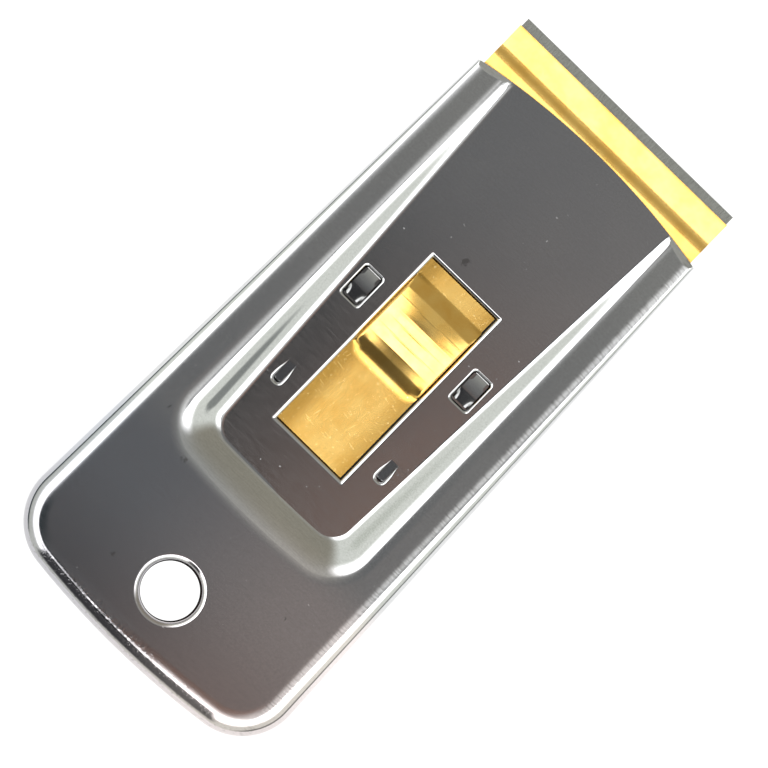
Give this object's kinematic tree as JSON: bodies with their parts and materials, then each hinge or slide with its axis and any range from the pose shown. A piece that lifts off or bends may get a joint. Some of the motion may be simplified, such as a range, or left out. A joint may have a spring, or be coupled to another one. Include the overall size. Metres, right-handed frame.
{
  "type": "razor blade scraper",
  "caption": "Flat pressed-steel pocket scraper: a thumb pad in a window slides a plated carriage that carries a single-edge blade in and out, with a hanging hole at the grip end.",
  "frame": {"origin": "under the middle of the whole tool at rest, on the plane its back lies on", "axes": "+Y along the tool to the cutting edge, +Z out of the front face with the window, +X to the right with the blade pointing away"},
  "size_m": [0.0464, 0.0988, 0.0068],
  "materials": {
    "shell_steel": "bright rolled tin-plate, faint grain and handling scratches",
    "plate_steel": "bright rolled tin-plate, flatter and more scratched than the front",
    "brass_plate": "satin brass plating, worn brighter on the thumb pad",
    "blade_steel": "ground grey blade steel with fine grinding lines across the edge",
    "spine_steel": "folded plain steel strip"
  },
  "bodies": {
    "case": {"front_shell": "shell_steel", "back_plate": "plate_steel"},
    "slider": {"blade_carriage": "brass_plate", "razor_blade": "blade_steel", "blade_spine": "spine_steel"}
  },
  "joints": [
    {"name": "blade_slide", "type": "slide", "parent": "case", "child": "slider", "axis": [0, 1, 0], "range_m": [-0.013, 0.0025]}
  ]
}
